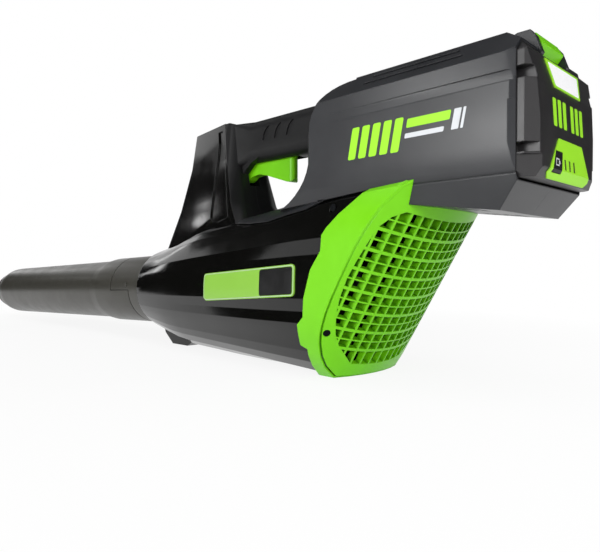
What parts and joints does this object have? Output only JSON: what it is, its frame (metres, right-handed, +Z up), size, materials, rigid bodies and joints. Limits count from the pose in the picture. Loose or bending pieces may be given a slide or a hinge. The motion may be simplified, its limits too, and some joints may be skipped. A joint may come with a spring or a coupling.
{
  "type": "handheld battery leaf blower",
  "caption": "Handheld battery leaf blower: fluted axial fan housing, long round blower tube, loop handle with trigger, slanted intake grille and slide-in rear battery.",
  "frame": {"origin": "the middle of the whole length, on the middle plane, at floor level under the resting machine", "axes": "+X to the rear, towards the battery; the blower tube points along -X; +Z up; +Y to the operator's right"},
  "size_m": [1.095, 0.1532, 0.2599],
  "materials": {
    "gloss_black_body": "glossy moulded",
    "matte_charcoal_housing": "fine satin grain",
    "matte_dark_grip": "soft matte over-mould",
    "lime_plastic": "satin moulded",
    "lime_plate": "printed satin plate",
    "inner_black_plastic": "satin moulded",
    "motor_copper": "lacquered winding",
    "machined_steel": "machined",
    "black_screws": "black oxide",
    "cast_heat_sink": "as cast",
    "battery_charcoal": "fine satin grain",
    "cell_metal": "sleeved cells",
    "terminal_metal": "plain",
    "light_windows": "clear windows",
    "button_black": "satin",
    "tube_grey": "semi-gloss moulded",
    "tip_ring_grey": "satin ring"
  },
  "bodies": {
    "machine": {"fan_housing_left": "gloss_black_body", "fan_housing_right": "gloss_black_body", "battery_housing_left": "matte_charcoal_housing", "battery_housing_right": "matte_charcoal_housing", "grip_left": "matte_dark_grip", "grip_right": "matte_dark_grip", "intake_cover": "lime_plastic", "fan_duct": "inner_black_plastic", "bell_mouth": "inner_black_plastic", "outlet_cone": "inner_black_plastic", "tail_cone": "inner_black_plastic", "motor_stator": "motor_copper", "motor_bearings": "machined_steel", "controller": "cast_heat_sink", "terminal_block": "inner_black_plastic", "trigger_switch": "inner_black_plastic", "trigger_pin": "machined_steel", "trigger_spring": "machined_steel", "boost_switch": "inner_black_plastic", "latch_bracket": "matte_charcoal_housing", "latch_pin": "machined_steel", "housing_screws": "black_screws", "cover_screws": "black_screws", "side_plate_left": "lime_plate", "side_plate_right": "lime_plate"},
    "rotor": {"fan_impeller": "inner_black_plastic", "rotor_shaft": "machined_steel", "rotor_magnets": "machined_steel", "fan_nut": "machined_steel"},
    "trigger_body": {"trigger": "lime_plastic"},
    "boost_body": {"boost_button": "matte_dark_grip"},
    "battery": {"battery_case": "battery_charcoal", "battery_end_cap": "battery_charcoal", "battery_cells": "cell_metal", "battery_terminals": "terminal_metal", "battery_top_plate": "lime_plate", "charge_panel": "lime_plate", "charge_lights": "light_windows", "battery_screws": "black_screws"},
    "charge_button_body": {"charge_button": "button_black"},
    "latch": {"latch_lever": "lime_plastic"},
    "tube": {"blower_tube": "tube_grey", "nozzle_ring": "tip_ring_grey"},
    "tube_lock": {"tube_lock_button": "tube_grey"}
  },
  "joints": [
    {"name": "fan_spin", "type": "hinge", "parent": "machine", "child": "rotor", "pos_m": [0.27515, 0, 0.07506], "axis": [0.9995, 0, 0.0314], "continuous": true},
    {"name": "trigger_pull", "type": "hinge", "parent": "machine", "child": "trigger_body", "pos_m": [0.20002, 0, 0.216], "axis": [0, -1, 0], "range_deg": [0, 7], "stiffness_Nm_per_rad": 1.2, "springref_deg": -5.73, "deforming": ["trigger_spring"]},
    {"name": "boost_press", "type": "slide", "parent": "machine", "child": "boost_body", "axis": [-0.309, 0, -0.9511], "range_m": [0, 0.0025], "stiffness_N_per_m": 400, "springref_m": -0.002},
    {"name": "battery_slide", "type": "slide", "parent": "machine", "child": "battery", "axis": [1, 0, 0], "range_m": [0, 0.15]},
    {"name": "charge_press", "type": "slide", "parent": "battery", "child": "charge_button_body", "axis": [-1, 0, 0], "range_m": [0, 0.001], "stiffness_N_per_m": 500, "springref_m": -0.001},
    {"name": "latch_lift", "type": "hinge", "parent": "machine", "child": "latch", "pos_m": [0.52202, 0, 0.249], "axis": [0, -1, 0], "range_deg": [0, 20], "stiffness_Nm_per_rad": 0.3, "springref_deg": -11.46},
    {"name": "tube_slide", "type": "slide", "parent": "machine", "child": "tube", "axis": [-0.9995, 0, -0.0314], "range_m": [0, 0.07]},
    {"name": "tube_lock_press", "type": "slide", "parent": "machine", "child": "tube_lock", "axis": [0, 1, 0], "range_m": [0, 0.003], "stiffness_N_per_m": 400, "springref_m": -0.002}
  ]
}
